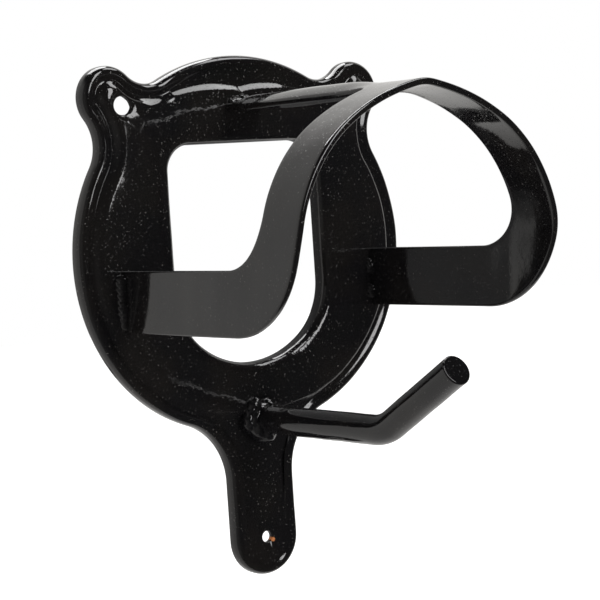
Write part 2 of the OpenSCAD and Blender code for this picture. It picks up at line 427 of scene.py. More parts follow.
@dataclass
class BackPlate:
    """Pressed plate: rolled rim, sunk border, raised face, window, two ears and a tongue."""

    finish: GlossCoat
    dome_r: float = 71.0
    side_r: float = 64.6
    side_x: float = 6.9
    body_z: float = 1.0
    face_d: float = 7.0
    border_d: float = 4.5
    sheet_t: float = 2.0
    border_w: float = 7.0
    dome_border_w: float = 12.5
    ear: tuple[float, float] = (54.3, 57.8)
    ear_r: float = 11.3
    valley_r: float = 12.0
    neck_r: float = 15.0
    tongue_hw: float = 14.0
    tongue_z: float = -104.0
    tongue_fillet_r: float = 24.0
    window_hw: float = 33.0
    window_top: float = 40.5
    window_corner_r: float = 10.0
    window_base_r: float = 38.0
    window_base_z: float = -1.5
    window_side_r: float = 26.0
    ear_hole: tuple[float, float] = (51.0, 55.0)
    ear_hole_r: float = 3.2
    tongue_hole_r: float = 2.0
    mouth: tuple[float, float] = (1.8, 1.2)
    outline_inset: float = 0.07
    spacing: float = 0.75
    front_steps: tuple[int, ...] = (2, 4, 4, 4, 4, 5, 4, 3, 5, 4, 3, 3, 3)
    back_steps: tuple[int, ...] = (1, 2, 2, 3, 2, 2, 2, 1)

    @staticmethod
    def fillet(a: np.ndarray, ra: float, b: np.ndarray, rb: float, r: float, side: int) -> np.ndarray:
        """Centre of a fillet that touches two circles from outside.

        Args:
            a: Centre of the first circle.
            ra: Its radius.
            b: Centre of the second circle.
            rb: Its radius.
            r: Radius of the fillet.
            side: 1 or -1, the side of the line between the centres.

        Returns:
            The centre.
        """
        v, p, q = b - a, ra + r, rb + r
        d = np.linalg.norm(v)
        along = (p * p - q * q + d * d) / (2 * d)
        return a + v / d * along + side * np.array([-v[1], v[0]]) / d * math.sqrt(p * p - along * along)

    def run(self, centre: np.ndarray, radius: float, start: float, end: float, side: int,
            widths: tuple[float, float]) -> np.ndarray:
        """Stations along one arc of the outline.

        Args:
            centre: Centre of the arc.
            radius: Its radius.
            start: First angle in degrees.
            end: Last angle in degrees, left out.
            side: 1 where the plate lies inside the arc, -1 where it lies outside.
            widths: Border width at the start and at the end.

        Returns:
            Array (stations, 3, 2): outline point, outward normal, point on the raised face's edge.
        """
        count = max(6, round(radius * abs(math.radians(end - start)) / self.spacing))
        f = np.arange(count) / count
        way = turn(start + (end - start) * f)
        point = centre + radius * way
        width = (widths[0] + (widths[1] - widths[0]) * f)[:, None]
        return np.stack([point, side * way, point - side * way * width], axis=1)

    def stations(self) -> np.ndarray:
        """Stations round the whole outline, clockwise from the top.

        Returns:
            Array (stations, 3, 2), as run gives them.
        """
        dome, side = np.array([0, self.body_z]), np.array([self.side_x, self.body_z])
        ear, tongue = np.array(self.ear), np.array([0, self.tongue_z])
        valley = self.fillet(dome, self.dome_r, ear, self.ear_r, self.valley_r, 1)
        neck = self.fillet(side, self.side_r, ear, self.ear_r, self.neck_r, -1)
        root_x = self.tongue_hw + self.tongue_fillet_r
        drop = math.sqrt((self.side_r + self.tongue_fillet_r) ** 2 - (root_x - self.side_x) ** 2)
        root = np.array([root_x, self.body_z - drop])
        last = bearing(root - side)
        w, top = self.border_w, self.dome_border_w
        body = [
            self.run(dome, self.dome_r, 90, bearing(valley - dome), 1, (top, w)),
            self.run(valley, self.valley_r, bearing(dome - valley), bearing(ear - valley), -1, (w, w)),
            self.run(ear, self.ear_r, bearing(valley - ear), bearing(neck - ear), 1, (w, w)),
            self.run(neck, self.neck_r, bearing(ear - neck), bearing(side - neck) + 360, -1, (w, w)),
            self.run(side, self.side_r, bearing(neck - side), last, 1, (w, w)),
        ]
        foot = [
            self.run(root, self.tongue_fillet_r, bearing(side - root), 180, -1, (w, w)),
            self.straight(np.array([self.tongue_hw, root[1]]), np.array([self.tongue_hw, self.tongue_z])),
            self.run(tongue, self.tongue_hw, 0, -90, 1, (w, w)),
        ]
        low = np.concatenate(foot)
        low[:, 2] = self.face_end(last, np.linspace(0, 1, len(low), endpoint=False))
        bottom = np.array([[[0, self.tongue_z - self.tongue_hw], [0, -1], self.face_end(last, np.ones(1))[0]]])
        right = np.concatenate([*body, low, bottom])
        return np.concatenate([right, right[-2:0:-1] * [-1, 1]])

    def straight(self, start: np.ndarray, end: np.ndarray) -> np.ndarray:
        """Stations down the tongue's straight edge, from start up to end."""
        count = round(np.linalg.norm(end - start) / (2 * self.spacing))
        point = start + (end - start) * (np.arange(count) / count)[:, None]
        return np.stack([point, np.broadcast_to([1.0, 0.0], point.shape), point], axis=1)

    def face_end(self, last: float, share: np.ndarray) -> np.ndarray:
        """Points on the wide arc that ends the raised face below the window.

        Args:
            last: Angle in degrees where the arc starts.
            share: How far along the arc, from 0 to 1 at its lowest point.

        Returns:
            Array (points, 2).
        """
        radius = self.side_r - self.border_w + self.side_x / math.cos(math.radians(last))
        height = self.body_z - self.side_x * math.tan(math.radians(last))
        return np.array([0, height]) + radius * turn(last + (-90 - last) * share)

    def window_radius(self, way: np.ndarray) -> np.ndarray:
        """Distance from the origin to the window's edge along unit directions.

        The edge is a straight top, straight sides, and arcs at the corners and along the base;
        on an arc the distance solves |distance * way - centre| = radius.

        Args:
            way: Unit directions, array (n, 2).

        Returns:
            Array (n,).
        """
        hw, top = self.window_hw, self.window_top
        x, z = np.abs(way[:, 0]), way[:, 1]

        def to_arc(centre: np.ndarray, radius: float) -> np.ndarray:
            """Distance to an arc mirrored onto the right."""
            along = x * centre[0] + z * centre[1]
            return along + np.sqrt(np.maximum(along**2 - centre @ centre + radius**2, 0))

        corner = np.array([hw - self.window_corner_r, top - self.window_corner_r])
        low_x = hw - self.window_side_r
        drop = math.sqrt((self.window_base_r - self.window_side_r) ** 2 - low_x**2)
        low, base = np.array([low_x, self.window_base_z - drop]), np.array([0, self.window_base_z])
        base_end = base + self.window_base_r * (low - base) / np.linalg.norm(low - base)
        angle = np.degrees(np.arctan2(z, x))
        marks = [bearing(np.array(p)) for p in
                 ((corner[0], top), (hw, corner[1]), (hw, low[1]), tuple(base_end))]
        return np.select(
            [angle > marks[0], angle > marks[1], angle > marks[2], angle > marks[3]],
            [top / np.maximum(z, 1e-6), to_arc(corner, self.window_corner_r),
             hw / np.maximum(x, 1e-6), to_arc(low, self.window_side_r)],
            to_arc(base, self.window_base_r))

    def surface(self) -> np.ndarray:
        """The closed sheet: at each station a smooth line over the front, and one home behind it.

        Returns:
            Array (stations, points, 3) in millimetres.
        """
        o, n, c = np.moveaxis(self.stations(), 1, 0)
        o = o - self.outline_inset * n
        u = unit(c)
        w = u * self.window_radius(u)[:, None]
        face, border, t = self.face_d, self.border_d, self.sheet_t
        front = [(o, 0), (o, 2.3), (o - 0.6 * n, border - 0.55), (o - 1.6 * n, border + 0.35),
                 (o - 2.9 * n, border + 0.55), (o - 4.8 * n, border), (c + 0.8 * (n + u), border + 0.2),
                 (c - 0.5 * (n + u), face - 0.5), (c - 1.4 * (n + u), face), (w + 4.5 * u, face),
                 (w + 1.7 * u, face - 0.75), (w + 0.4 * u, face - 2.1), (w, face - 3.8), (w, 0)]
        back = [(w, 0), (w + t * u, 0), (w + t * u, face - 3.6), (w + 4.9 * u, face - t),
                (c - 1.2 * (n + u), face - t), (c, border + 0.4 - t), (o - 4.4 * n, border - t),
                (o - t * n, border - 2), (o - t * n, 0)]
        over = smooth_line(self.knots(front), list(self.front_steps))
        home = smooth_line(self.knots(back), list(self.back_steps))
        loose = np.clip((-over[..., 1] - 2) / 3, 0, 1)
        over[..., 1] += loose * (ripple(over, 24.0, 0.16, 3) + ripple(over, 9.0, 0.05, 8))
        return np.concatenate([over, home[:, 1:]], axis=1)

    @staticmethod
    def knots(line: list[tuple[np.ndarray, float]]) -> np.ndarray:
        """Stand (plane points, distance from the wall) pairs up as an array (lines, knots, 3)."""
        rows = [np.stack([p[:, 0], np.full(len(p), -float(d)), p[:, 1]], axis=-1) for p, d in line]
        return np.stack(rows, axis=1)

    def build(self) -> bpy.types.Object:
        """Make the plate: the sheet and its screw holes, whose mouths flare out in a quarter ellipse.

        Returns:
            The finished piece.
        """
        coat = self.finish.build()
        sheet = self.surface()
        faces = grid_quads(*sheet.shape[:2], wrap_rows=True, wrap_cols=True)
        piece = make_piece("plate_pressing", [(sheet, faces)], coat)
        x, z = self.ear_hole
        for place, depth, r in (((-x, z), self.face_d, self.ear_hole_r), ((x, z), self.face_d, self.ear_hole_r),
                                ((0.0, self.tongue_z), self.border_d, self.tongue_hole_r)):
            a = np.radians(np.linspace(0, 80, 12))
            flare = np.stack([r + self.mouth[0] * (1 - np.cos(a)),
                              depth - self.mouth[1] * (1 - np.sin(a))], axis=-1)
            line = np.concatenate([[[0, -2], [r, -2]], flare, [[r + 3.4, depth + 0.6], [0, depth + 0.6]]])
            cut(piece, make_piece("drill", [turned(line, place)], coat), "DIFFERENCE")
        piece.data.shade_smooth()
        piece.data.set_sharp_from_angle(angle=math.radians(38))
        return piece


# ---------------------------------------------------------------- cradle


@dataclass
class Cradle:
    """One bent sheet: an arm down each side, a front band over the arch, and a strip along its top."""

    finish: GlossCoat
    sheet_t: float = 2.3
    half_width: float = 56.5
    spring_z: float = -0.2
    shoulder_r: float = 52.0
    flank_r: float = 87.0
    shoulder_end: float = 58.0
    flank_end: float = 78.0
    reach: float = 107.0
    band_w: float = 20.0
    root_y: float = 7.0
    arm_low: float = -23.5
    arm_high: float = -1.8
    corner_out_r: float = 36.0
    corner_in_r: float = 18.0
    strip_hw: float = 8.25
    strip_corner_r: float = 4.0
    edge_r: float = 0.85
    strip_bow: float = 1.3
    strip_bow_runs: tuple[float, float] = (9.0, 18.0)
    spacing: float = 1.1

    def __post_init__(self) -> None:
        """Work out the arcs of the arch and the length of half of it."""
        d2r = math.radians
        self.shoulder_x = self.half_width - self.shoulder_r
        reach = self.shoulder_r - self.flank_r
        self.flank_c = (self.shoulder_x + reach * math.cos(d2r(self.shoulder_end)),
                        self.spring_z + reach * math.sin(d2r(self.shoulder_end)))
        self.crown_r = self.flank_r + self.flank_c[0] / math.cos(d2r(self.flank_end))
        self.crown_z = self.flank_c[1] + (self.flank_r - self.crown_r) * math.sin(d2r(self.flank_end))
        self.leg = self.spring_z - self.arm_low
        self.marks = np.cumsum([self.leg, self.shoulder_r * d2r(self.shoulder_end),
                                self.flank_r * d2r(self.flank_end - self.shoulder_end),
                                self.crown_r * d2r(90 - self.flank_end)])
        self.half = float(self.marks[3])

    def arch(self, along: np.ndarray) -> tuple[np.ndarray, np.ndarray]:
        """Outer line of the arch by distance from the right leg's foot: a leg, three arcs, and their mirror.

        Args:
            along: Distances in millimetres.

        Returns:
            Points and outward normals, arrays (..., 2) of x and z.
        """
        s = np.minimum(along, 2 * self.half - along)
        side = np.where(along <= self.half, 1.0, -1.0)
        turns = [np.degrees((s - self.marks[0]) / self.shoulder_r),
                 self.shoulder_end + np.degrees((s - self.marks[1]) / self.flank_r),
                 self.flank_end + np.degrees((s - self.marks[2]) / self.crown_r)]
        places = [((self.shoulder_x, self.spring_z), self.shoulder_r, turns[0]),
                  (self.flank_c, self.flank_r, turns[1]), ((0.0, self.crown_z), self.crown_r, turns[2])]
        steps = [s < self.marks[0], s < self.marks[1], s < self.marks[2]]
        angle = np.select(steps, [np.zeros_like(s), turns[0], turns[1]], turns[2])
        arcs = [np.array(c) + r * turn(a) for c, r, a in places]
        leg = np.stack([np.full_like(s, self.half_width), self.arm_low + s], axis=-1)
        point = np.select([m[..., None] for m in steps], [leg, arcs[0], arcs[1]], arcs[2])
        normal = turn(angle)
        flip = np.stack([side, np.ones_like(side)], axis=-1)
        return point * flip, normal * flip

    def along_at_z(self, z: np.ndarray) -> np.ndarray:
        """Distance along the right side of the arch at a height on the leg or the shoulder."""
        lift = np.clip((z - self.spring_z) / self.shoulder_r, 0, 1)
        return np.where(z < self.spring_z, z - self.arm_low, self.marks[0] + self.shoulder_r * np.arcsin(lift))

    def along_at_x(self, x: np.ndarray) -> np.ndarray:
        """Distance along the arch at a sideways place on the flanks or the crown."""
        a = np.abs(x)
        crown = self.marks[2] + self.crown_r * (np.arccos(np.clip(a / self.crown_r, -1, 1))
                                                - math.radians(self.flank_end))
        flank = self.marks[1] + self.flank_r * (np.arccos(np.clip((a - self.flank_c[0]) / self.flank_r, -1, 1))
                                                - math.radians(self.shoulder_end))
        s = np.where(a < self.crown_r * math.cos(math.radians(self.flank_end)), crown, flank)
        return np.where(x >= 0, s, 2 * self.half - s)

    def across(self, width: float, count: int) -> np.ndarray:
        """Shares from 0 to 1 across a width, crowded where the edges are rounded."""
        rim = self.edge_r * (1 - np.cos(np.radians(np.linspace(0, 90, 7)))) / width
        middle = np.linspace(rim[-1], 1 - rim[-1], count)[1:-1]
        return np.concatenate([rim, middle, 1 - rim[::-1]])

    def band_edges(self) -> tuple[np.ndarray, np.ndarray, np.ndarray]:
        """Both edges of the strip that runs up one arm, round its corner and over the arch.

        Returns:
            Outer edge and inner edge as arrays (n, 2) of distance along the arch and distance from
            the wall, and the sideways places where the top strip's columns meet the inner edge.
        """
        d = self.spacing
        back = self.reach - self.band_w
        out_y, in_y = self.reach - self.corner_out_r, back - self.corner_in_r
        out_z, in_z = self.arm_low + self.corner_out_r, self.arm_high + self.corner_in_r
        f = np.linspace(0, 1, int((out_y - self.root_y) / d), endpoint=False)
        arm_out = np.stack([0 * f, self.root_y + (out_y - self.root_y) * f], axis=-1)
        arm_in = np.stack([0 * f + self.arm_high - self.arm_low,
                           self.root_y + (in_y - self.root_y) * f], axis=-1)
        a = np.linspace(0, np.pi / 2, 40, endpoint=False)
        turn_out = np.stack([self.along_at_z(out_z - self.corner_out_r * np.cos(a)),
                             out_y + self.corner_out_r * np.sin(a)], axis=-1)
        turn_in = np.stack([self.along_at_z(in_z - self.corner_in_r * np.cos(a)),
                            in_y + self.corner_in_r * np.sin(a)], axis=-1)
        root_x = self.strip_hw + self.strip_corner_r
        meet = float(self.along_at_x(np.array(root_x)))
        starts = self.along_at_z(np.array([out_z, in_z]))
        f = np.linspace(0, 1, int((meet - starts[0]) / d), endpoint=False)
        rise_out = np.stack([starts[0] + (meet - starts[0]) * f, 0 * f + self.reach], axis=-1)
        rise_in = np.stack([starts[1] + (meet - starts[1]) * f, 0 * f + back], axis=-1)
        columns = root_x * (1 - 2 * self.across(2 * self.strip_hw, 20))
        middle = self.along_at_x(columns)
        top_out = np.stack([middle, 0 * middle + self.reach], axis=-1)
        top_in = np.stack([middle, 0 * middle + back], axis=-1)
        right_out = np.concatenate([arm_out, turn_out, rise_out])
        right_in = np.concatenate([arm_in, turn_in, rise_in])
        mirror = np.array([-1, 1]), np.array([2 * self.half, 0])
        outer = np.concatenate([right_out, top_out, right_out[::-1] * mirror[0] + mirror[1]])
        inner = np.concatenate([right_in, top_in, right_in[::-1] * mirror[0] + mirror[1]])
        return outer, inner, columns

    def flat_sheet(self) -> tuple[np.ndarray, np.ndarray, np.ndarray]:
        """The sheet laid flat, as a grid for the band and a grid for the top strip that share a row.

        Returns:
            Points (n, 2) of distance along the arch and from the wall, quads, and the rounded
            edge as segments (m, 2, 2).
        """
        outer, inner, columns = self.band_edges()
        v = self.across(self.band_w, 16)[None, :, None]
        band = outer[:, None] * (1 - v) + inner[:, None] * v
        rows, cols = band.shape[:2]
        first = (rows - len(columns)) // 2
        a = np.radians(np.linspace(0, 90, 12))[1:]
        back = self.reach - self.band_w
        bend = np.stack([self.strip_hw + self.strip_corner_r * (1 - np.sin(a)),
                         back - self.strip_corner_r * (1 - np.cos(a))], axis=-1)
        down = np.linspace(back - self.strip_corner_r, self.root_y, 56)[1:]
        sides = np.concatenate([bend, np.stack([0 * down + self.strip_hw, down], axis=-1)])
        share = columns / columns[0]
        strip = np.stack([self.along_at_x(sides[:, :1] * share),
                          np.repeat(sides[:, 1:], len(share), axis=1)], axis=-1)
        points = np.concatenate([band.reshape(-1, 2), strip.reshape(-1, 2)])
        numbers = np.concatenate([(np.arange(first, first + len(columns)) * cols + cols - 1)[None],
                                  rows * cols + np.arange(strip[..., 0].size).reshape(strip.shape[:2])])
        local = grid_quads(*numbers.shape)
        quads = np.concatenate([grid_quads(rows, cols), numbers.reshape(-1)[local]])
        last = first + len(columns) - 1
        lines = [outer, inner[:first + 1], inner[last:],
                 np.concatenate([inner[first][None], strip[:, 0]]),
                 np.concatenate([inner[last][None], strip[:, -1]])]
        edge = np.concatenate([np.stack([line[:-1], line[1:]], axis=1) for line in lines])
        return points, quads, edge

    @staticmethod
    def distance(points: np.ndarray, segments: np.ndarray) -> np.ndarray:
        """Shortest distance from each point to a set of segments in the plane."""
        a, v = segments[None, :, 0], segments[None, :, 1] - segments[None, :, 0]
        best = []
        for part in np.array_split(points, 24):
            p = part[:, None] - a
            t = np.clip((p * v).sum(-1) / np.maximum((v * v).sum(-1), 1e-9), 0, 1)
            best.append(np.sqrt(((p - t[..., None] * v) ** 2).sum(-1)).min(axis=1))
        return np.concatenate(best)

    def build(self) -> bpy.types.Object:
        """Make the sheet: its middle surface moved out both ways, thinner within the edge radius.

        The half thickness is t/2 - r + sqrt(r^2 - (r - d)^2) at a distance d under r from the edge.
        Between the plate and the band, the top strip bows up by strip_bow in its middle and drops at its sides.

        Returns:
            The finished piece.
        """
        flat, quads, edge = self.flat_sheet()
        line, normal = self.arch(flat[:, 0])
        r = self.edge_r
        d = np.minimum(self.distance(flat, edge), r)
        half = self.sheet_t / 2 - r + np.sqrt(np.maximum(r * r - (r - d) ** 2, 0))
        y = -flat[:, 1]
        middle = np.stack([line[:, 0], y, line[:, 1]], axis=-1)
        out = np.stack([normal[:, 0], 0 * y, normal[:, 1]], axis=-1)
        held = np.clip((flat[:, 1] - self.root_y) / 30, 0, 1)
        waves = held * (ripple(middle, 46.0, 0.14, 21) + ripple(middle, 17.0, 0.03, 5)) - held * 0.1
        from_root, from_band = flat[:, 1] - self.root_y, self.reach - self.band_w - flat[:, 1]
        root_run, band_run = self.strip_bow_runs
        way = np.clip(from_root / root_run, 0, 1) * np.clip(from_band / band_run, 0, 1)
        bow = self.strip_bow * way**2 * (3 - 2 * way) * (1 - 1.7 * (line[:, 0] / self.strip_hw) ** 2)
        middle = middle + out * (waves - self.sheet_t / 2)[:, None]
        middle[:, 2] += np.where(np.abs(line[:, 0]) < self.strip_hw + 0.1, bow, 0)
        points = np.concatenate([middle + out * half[:, None], middle - out * half[:, None]])
        count = len(flat)
        used = np.concatenate([quads[:, [0, 1]], quads[:, [1, 2]], quads[:, [2, 3]], quads[:, [3, 0]]])
        keys = np.sort(used, axis=1) @ np.array([count, 1])
        _, at, times = np.unique(keys, return_index=True, return_counts=True)
        rim = used[at[times == 1]]
        walls = np.stack([rim[:, 1], rim[:, 0], rim[:, 0] + count, rim[:, 1] + count], axis=-1)
        faces = np.concatenate([quads, quads[:, ::-1] + count, walls])
        return make_piece("cradle_sheet", [(points, faces)], self.finish.build(), 50)


# ---------------------------------------------------------------- hook


@dataclass
class Hook:
    """Round bar, straight out of the plate and bent up, with a sawn end that the coat has rounded."""

    finish: GlossCoat
    bar_r: float = 5.25
    height: float = -60.2
    root_y: float = 7.0
    bend_y: float = 75.0
    bend_r: float = 20.0
    bend_angle: float = 30.5
    tip_length: float = 43.7
    tip_round: float = 0.6

    def path(self) -> tuple[np.ndarray, np.ndarray]:
        """Centre line of the bar: a straight run, an arc, and a sloped run, in the plane x = 0.

        Returns:
            Points (n, 2) of distance from the wall and height, and the direction's angle at each.
        """
        leg = self.bend_r * math.tan(math.radians(self.bend_angle / 2))
        run = np.linspace(self.root_y, self.bend_y - leg, 60, endpoint=False)
        first = np.stack([run, 0 * run + self.height], axis=-1)
        a = np.linspace(0, self.bend_angle, 28, endpoint=False)
        start = np.array([self.bend_y - leg, self.height + self.bend_r])
        arc = start + self.bend_r * turn(a - 90)
        slope = turn(self.bend_angle)
        far = np.linspace(leg, self.tip_length, 40)[:, None]
        last = np.array([self.bend_y, self.height]) + far * slope
        angles = np.concatenate([0 * run, a, np.full(len(far), self.bend_angle)])
        return np.concatenate([first, arc, last]), angles

    def build(self) -> bpy.types.Object:
        """Carry circles along the path, then close the end over its rounded rim and slightly dished face.

        Returns:
            The finished piece.
        """
        line, angles = self.path()
        a = np.radians(np.linspace(0, 90, 7))
        rim_back = self.tip_round * (1 - np.sin(a))
        rim_r = self.bar_r - self.tip_round * (1 - np.cos(a))
        inside = np.linspace(1, 0, 9)[1:] * rim_r[-1]
        slope = turn(self.bend_angle)
        body = line[:-1]
        tip = line[-1] - np.concatenate([rim_back, 0.10 + 0.06 * np.cos(inside)])[:, None] * slope
        body = body[np.linalg.norm(body - line[-1], axis=1) > self.tip_round * 1.2]
        centres = np.concatenate([[[self.root_y, self.height]], body, tip])
        radii = np.concatenate([[0], np.full(len(body), self.bar_r), rim_r, inside])
        facing = np.concatenate([[0], angles[:len(body)], np.full(len(tip), self.bend_angle)])
        swell = np.exp(-((np.arange(len(body)) - 74) / 12.0) ** 2) * 0.03
        radii[1:1 + len(body)] += swell
        t = np.linspace(0, 2 * np.pi, 112, endpoint=False)
        side = np.stack([np.cos(t), 0 * t, 0 * t], axis=-1)[None]
        up = np.stack([0 * facing, np.sin(np.radians(facing)), np.cos(np.radians(facing))], axis=-1)
        around = side + np.sin(t)[None, :, None] * up[:, None]
        points = np.stack([0 * facing, -centres[:, 0], centres[:, 1]], axis=-1)[:, None]
        points = points + around * radii[:, None, None]
        wobble = ripple(points, 19.0, 0.05, 12) * (radii > self.bar_r * 0.9)[:, None]
        points = points + around * (wobble - 0.03 * (radii > self.bar_r * 0.9)[:, None])[..., None]
        faces = grid_quads(len(facing), len(t), wrap_cols=True)[:, ::-1]
        return make_piece("hook_bar", [(points, faces)], self.finish.build(), 50)


# ---------------------------------------------------------------- welds


@dataclass
class Bead:
    """A weld bead of overlapping ripples, laid along a line in the corner between two faces."""

    line: np.ndarray
    leg_a: np.ndarray
    leg_b: np.ndarray
    size: tuple[float, float]
    seed: int
    pitch: float = 2.3
    lump: float = 0.22
    closed: bool = False
    fullness: np.ndarray = field(default_factory=lambda: np.ones(1))

    def shell(self) -> tuple[np.ndarray, np.ndarray]:
        """Points and quads of the bead.

        Across the bead an angle p runs from one toe to the other, and the surface stands at
        leg_a * cos(p) + leg_b * sin(p), times its size, its lumps and its ripples. Each ripple
        is the rectified sine of the length run, bowed forwards in the middle of the bead.

        Returns:
            Points (rows, columns, 3) and quads.
        """
        run = np.concatenate([[0], np.cumsum(np.linalg.norm(np.diff(self.line, axis=0), axis=1))])
        ends = np.minimum(run, run[-1] - run) / (0.8 * max(self.size))
        taper = np.ones_like(run) if self.closed else np.sqrt(np.clip(1 - (1 - np.clip(ends, 0, 1)) ** 2, 0, 1))
        p = np.radians(np.linspace(-8, 98, 22))[None]
        bow = run[:, None] - 0.45 * self.pitch * np.sin(2 * np.clip(p, 0, np.pi / 2))
        wave = np.abs(np.sin(np.pi * bow / self.pitch))
        swell = 1 + ripple(self.line, 3.1 * self.pitch, self.lump, self.seed)[:, None]
        size = (taper * self.fullness)[:, None] * swell * (0.86 + 0.15 * wave)
        legs = (self.leg_a * self.size[0])[..., None, :] * np.cos(p)[..., None] \
            + (self.leg_b * self.size[1])[..., None, :] * np.sin(p)[..., None]
        surface = self.line[:, None] + legs * size[..., None]
        grain = ripple(surface, 2.2, 0.04, self.seed + 1)[..., None] * taper[:, None, None]
        surface = surface + grain * unit(legs + 1e-9)
        legs_met = (self.leg_a + self.leg_b).reshape(-1, 1, 3)
        heel = self.line[:, None] - 0.35 * legs_met * (taper * 0.9)[:, None, None]
        points = np.concatenate([surface, np.broadcast_to(heel, (len(run), 1, 3))], axis=1)
        return points, grid_quads(*points.shape[:2], wrap_rows=self.closed, wrap_cols=True)


@dataclass
class Welds:
    """All the bracket's beads, each group standing for one node of the frame."""

    finish: GlossCoat
    cradle: Cradle
    hook: Hook
    leg: float = 2.4
    collar: tuple[float, float] = (3.1, 4.4)

    def hook_collar(self) -> bpy.types.Object:
        """Ring of ripples round the bar's root, fuller towards the upper left, with a second pass there."""
        a = np.linspace(0, 2 * np.pi, 240, endpoint=False)
        out = np.stack([np.cos(a), 0 * a, np.sin(a)], axis=-1)
        centre = np.array([0, -self.hook.root_y + 0.15, self.hook.height])
        away = np.broadcast_to([0.0, -1.0, 0.0], out.shape)
        full = 1 + 0.16 * np.cos(a - 2.5) + 0.05 * np.sin(3 * a)
        ring = Bead(centre + out * (self.hook.bar_r - 0.05), out, away, self.collar, 41, 4.1, 0.24, True, full)
        b = np.linspace(1.75, 3.7, 60)
        way = np.stack([np.cos(b), 0 * b, np.sin(b)], axis=-1)
        second = Bead(centre + way * (self.hook.bar_r + 2.2), way, np.broadcast_to([0.0, -1.0, 0.0], way.shape),
                      (2.2, 2.9), 47, 2.6, 0.25)
        base = centre + np.array([0, 2.6, 0])
        foot = Bead(base + out * (self.hook.bar_r - 0.05), out, away, (2.9, 3.4), 43, 3.3, 0.1, True)
        return self.piece("hook_bar_weld", [ring, second, foot])

    def arm(self, side: int, name: str, seed: int) -> bpy.types.Object:
        """Beads down one arm: a long one outside and a row of tacks inside.

        Args:
            side: 1 for the right arm, -1 for the left.
            name: Name of the piece.
            seed: Seed of the lumps.

        Returns:
            The finished piece.
        """
        c = self.cradle
        low, high = c.arm_low + 1.0, c.arm_high - 1.0
        z = np.linspace(high, low, 90)
        beads = []
        for x, way, top, bottom, legs in ((c.half_width, side, high, low, (self.leg, self.leg)),
                                          (c.half_width - c.sheet_t, -side, high - 2.5, high - 9.0, (2.2, 2.1)),
                                          (c.half_width - c.sheet_t, -side, low + 7.5, low + 1.5, (2.0, 2.0))):
            run = np.linspace(top, bottom, len(z))
            line = np.stack([0 * run + side * (x - 0.02 * way * side), 0 * run - c.root_y, run], axis=-1)
            beads.append(Bead(line, np.broadcast_to([float(way), 0.0, 0.0], line.shape),
                              np.broadcast_to([0.0, -1.0, 0.0], line.shape), legs, seed + len(beads), 2.1, 0.3))
        return self.piece(name, beads)

    def strip(self) -> bpy.types.Object:
        """Flat bead across the root of the top strip."""
        c = self.cradle
        span = c.along_at_x(np.array([0.82 * c.strip_hw]))[0]
        along = np.linspace(span, 2 * c.half - span, 150)
        line, normal = c.arch(along)
        corner = np.stack([line[:, 0], 0 * along - c.root_y, line[:, 1]], axis=-1)
        out = np.stack([normal[:, 0], 0 * along, normal[:, 1]], axis=-1)
        return self.piece("strip_root_weld", [Bead(corner, out, np.broadcast_to([0.0, -1.0, 0.0], out.shape),
                                                   (1.9, 2.6), 61, 2.8, 0.35)])

    def piece(self, name: str, beads: list[Bead]) -> bpy.types.Object:
        """Make one piece of several beads.

        Args:
            name: Name of the piece.
            beads: Its beads.

        Returns:
            The finished piece.
        """
        return make_piece(name, [bead.shell() for bead in beads], self.finish.build(), 60)


# ---------------------------------------------------------------- studio


@dataclass
class Softbox:
    """One soft lamp, seen by reflections only.

    Its place is an angle round the bracket, 0 in front and 90 on the right, and an angle above level.
    """

    name: str
    round_by: float
    above: float
    size: tuple[float, float]
    radiance: float
    distance: float = 1.1

    def place(self, aim: Vector) -> None:
        """Hang the lamp so that it faces the aim point."""
        data = bpy.data.lights.new(self.name, "AREA")
        data.shape = "RECTANGLE"
        data.size, data.size_y = self.size
        data.energy = self.radiance * math.pi * self.size[0] * self.size[1]
        lamp = bpy.data.objects.new(self.name, data)
        a, b = math.radians(self.round_by), math.radians(self.above)
        way = Vector((math.sin(a) * math.cos(b), -math.cos(a) * math.cos(b), math.sin(b)))
        lamp.location = aim + way * self.distance
        lamp.rotation_euler = way.to_track_quat("Z", "Y").to_euler()
        lamp.visible_camera = False
        bpy.context.scene.collection.objects.link(lamp)


